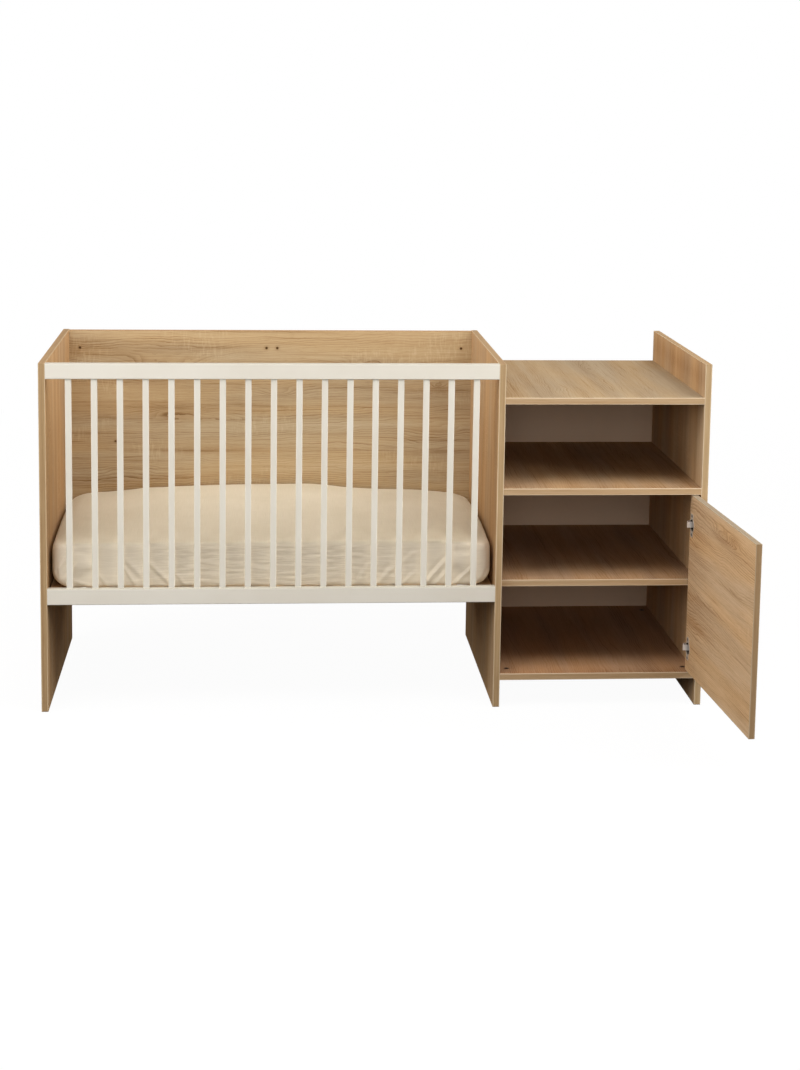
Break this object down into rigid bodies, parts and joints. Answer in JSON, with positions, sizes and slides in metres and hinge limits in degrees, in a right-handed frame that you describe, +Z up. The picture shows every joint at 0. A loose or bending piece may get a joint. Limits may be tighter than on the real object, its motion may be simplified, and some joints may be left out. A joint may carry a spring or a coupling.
{
  "type": "crib with attached changer",
  "caption": "Slatted crib joined to a changing cabinet: raised changing top, open shelf, inset door on cup hinges, slatted base and a sheeted mattress.",
  "frame": {"origin": "on the floor, at the centre of the middle panel's foot", "axes": "+X along the length from the crib to the changing cabinet, +Y from the barred front to the back, +Z up"},
  "size_m": [1.7992, 1.1673, 0.947],
  "materials": {
    "laminate": "oak-look melamine laminate, satin",
    "edge_band": "oak-look plastic edge strip, satin",
    "painted_beech": "warm white paint on wood, satin",
    "base_timber": "bare planed softwood",
    "screw_steel": "bright zinc plating",
    "mattress_foam": "foam core in a plain ticking",
    "sheet_cotton": "plain woven cotton, matte",
    "white_fibreboard": "thin fibreboard, white lacquer on the front",
    "zinc_plated_steel": "zinc-plated",
    "cast_zinc": "cast zinc, dull",
    "dowel_wood": "bare beech",
    "hinge_nickel": "nickel-plated pressed steel"
  },
  "bodies": {
    "frame": {"left_end_panel": "laminate", "middle_panel": "laminate", "side_panel": "laminate", "crib_back_panel": "laminate", "changer_top": "laminate", "upper_shelf": "laminate", "inner_shelf": "laminate", "bottom_board": "laminate", "panel_edge_bands": "edge_band", "back_edge_bands": "edge_band", "shelf_edge_bands": "edge_band", "top_rail": "painted_beech", "bottom_rail": "painted_beech", "bar_01": "painted_beech", "bar_02": "painted_beech", "bar_03": "painted_beech", "bar_04": "painted_beech", "bar_05": "painted_beech", "bar_06": "painted_beech", "bar_07": "painted_beech", "bar_08": "painted_beech", "bar_09": "painted_beech", "bar_10": "painted_beech", "bar_11": "painted_beech", "bar_12": "painted_beech", "bar_13": "painted_beech", "bar_14": "painted_beech", "bar_15": "painted_beech", "bar_16": "painted_beech", "bar_17": "painted_beech", "base_front_beam": "base_timber", "base_centre_beam": "base_timber", "base_rear_beam": "base_timber", "base_left_beam": "base_timber", "base_right_beam": "base_timber", "base_slats": "base_timber", "cleat_left": "base_timber", "cleat_right": "base_timber", "slat_screws": "screw_steel", "cleat_screws": "screw_steel", "plate_screws": "screw_steel", "cabinet_back": "white_fibreboard", "shelf_pins": "zinc_plated_steel", "cam_bolts": "zinc_plated_steel", "cam_housings": "cast_zinc", "dowels": "dowel_wood", "hinge_arm_upper": "hinge_nickel", "hinge_plate_upper": "hinge_nickel", "hinge_arm_lower": "hinge_nickel", "hinge_plate_lower": "hinge_nickel"},
    "door_leaf": {"door": "laminate", "door_edge_band": "edge_band", "hinge_cup_upper": "hinge_nickel", "hinge_cup_lower": "hinge_nickel", "hinge_pins": "screw_steel", "cup_screws": "screw_steel"},
    "bed": {"mattress": "mattress_foam", "fitted_sheet": "sheet_cotton"}
  },
  "joints": [
    {"name": "door_hinge", "type": "hinge", "parent": "frame", "child": "door_leaf", "pos_m": [0.5345, -0.3192, 0.342], "axis": [0, 0, 1], "range_deg": [-93.5, 11.5]},
    {"name": "mattress_lift", "type": "slide", "parent": "frame", "child": "bed", "axis": [0, 0, 1], "range_m": [0, 0.62]}
  ]
}
